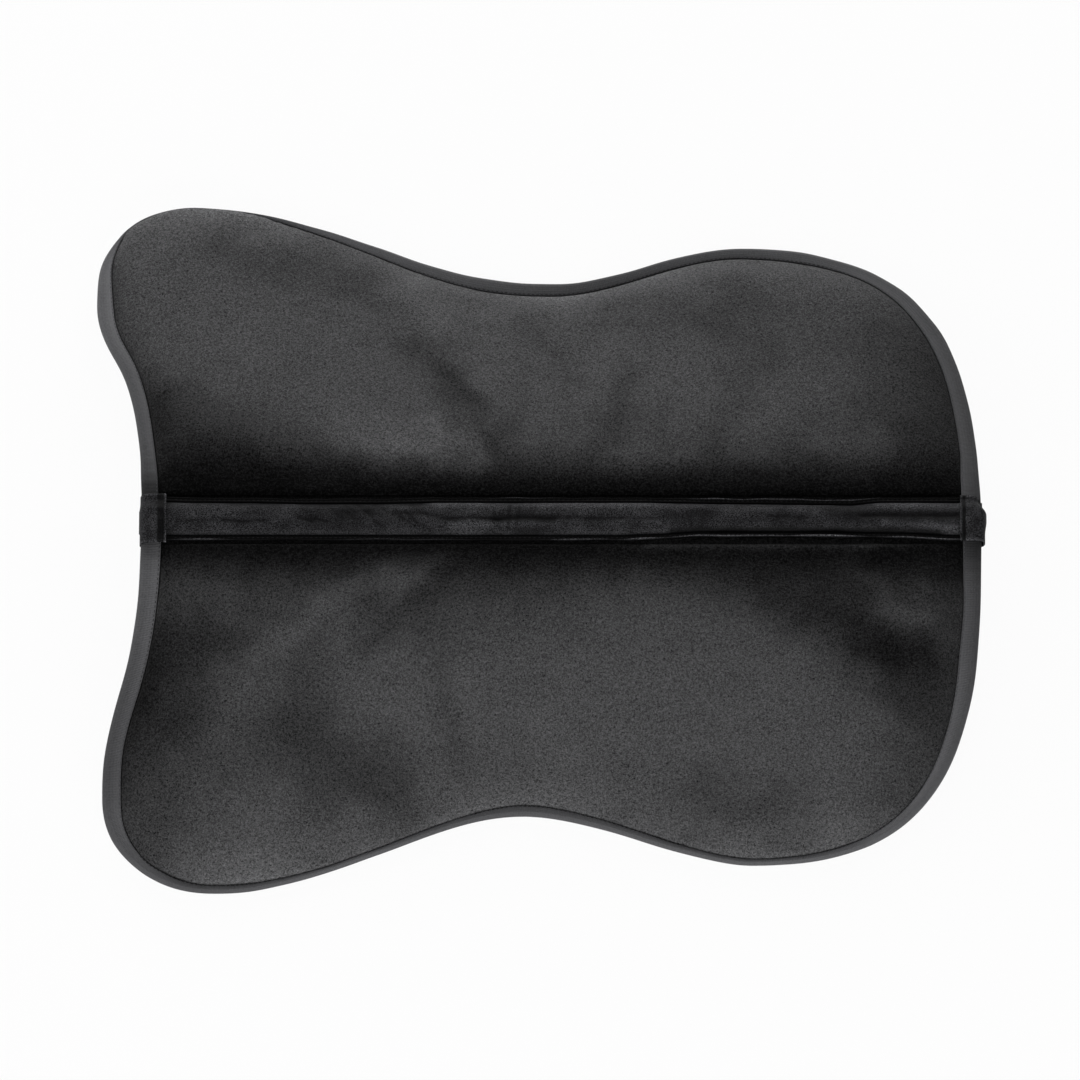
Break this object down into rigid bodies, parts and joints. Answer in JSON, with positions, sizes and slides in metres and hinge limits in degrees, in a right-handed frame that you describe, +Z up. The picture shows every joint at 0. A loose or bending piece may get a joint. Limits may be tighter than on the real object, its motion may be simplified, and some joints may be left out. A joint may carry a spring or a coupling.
{
  "type": "half pad",
  "caption": "Contoured half pad for use under a saddle: soft padded panels with bound edges, joined by a puffed spine strip and lying as a low arch.",
  "frame": {"origin": "middle of the footprint, on the surface that the pad stands on", "axes": "+X along the spine from the front of the pad to its rear, +Y to the horse's right, +Z up"},
  "size_m": [0.5874, 0.4998, 0.0582],
  "materials": {
    "cover_cloth": "short-nap microfibre, matt with a soft sheen",
    "lining_cloth": "plain matt lining cloth",
    "binding_tape": "smooth matt elastic tape",
    "strip_cloth": "thin soft coated cloth with a satin gloss and fine creases",
    "thread": "sewing thread",
    "webbing": "flat woven webbing",
    "foam": "soft open-cell foam"
  },
  "bodies": {
    "spine": {"spine_strip": "strip_cloth", "spine_filler": "foam", "spine_webbing": "webbing", "spine_lining": "lining_cloth", "front_end_tab": "strip_cloth", "rear_end_tab": "strip_cloth", "front_tab_thread_inner": "thread", "front_tab_thread_outer": "thread", "rear_tab_thread_inner": "thread", "rear_tab_thread_outer": "thread"},
    "left_half": {"left_top_cover": "cover_cloth", "left_under_cover": "lining_cloth", "left_foam_core": "foam", "left_edge_binding": "binding_tape", "left_binding_thread": "thread", "left_strip_flange": "strip_cloth", "left_seam_thread": "thread"},
    "right_half": {"right_top_cover": "cover_cloth", "right_under_cover": "lining_cloth", "right_foam_core": "foam", "right_edge_binding": "binding_tape", "right_binding_thread": "thread", "right_strip_flange": "strip_cloth", "right_seam_thread": "thread"}
  },
  "joints": [
    {"name": "left_half_fold", "type": "hinge", "parent": "spine", "child": "left_half", "pos_m": [0, -0.012, 0.04985], "axis": [1, 0, 0], "range_deg": [-20, 65], "stiffness_Nm_per_rad": 4, "springref_deg": 4.58},
    {"name": "right_half_fold", "type": "hinge", "parent": "spine", "child": "right_half", "pos_m": [0, 0.012, 0.04985], "axis": [-1, 0, 0], "range_deg": [-20, 65], "stiffness_Nm_per_rad": 4, "springref_deg": 4.58}
  ]
}
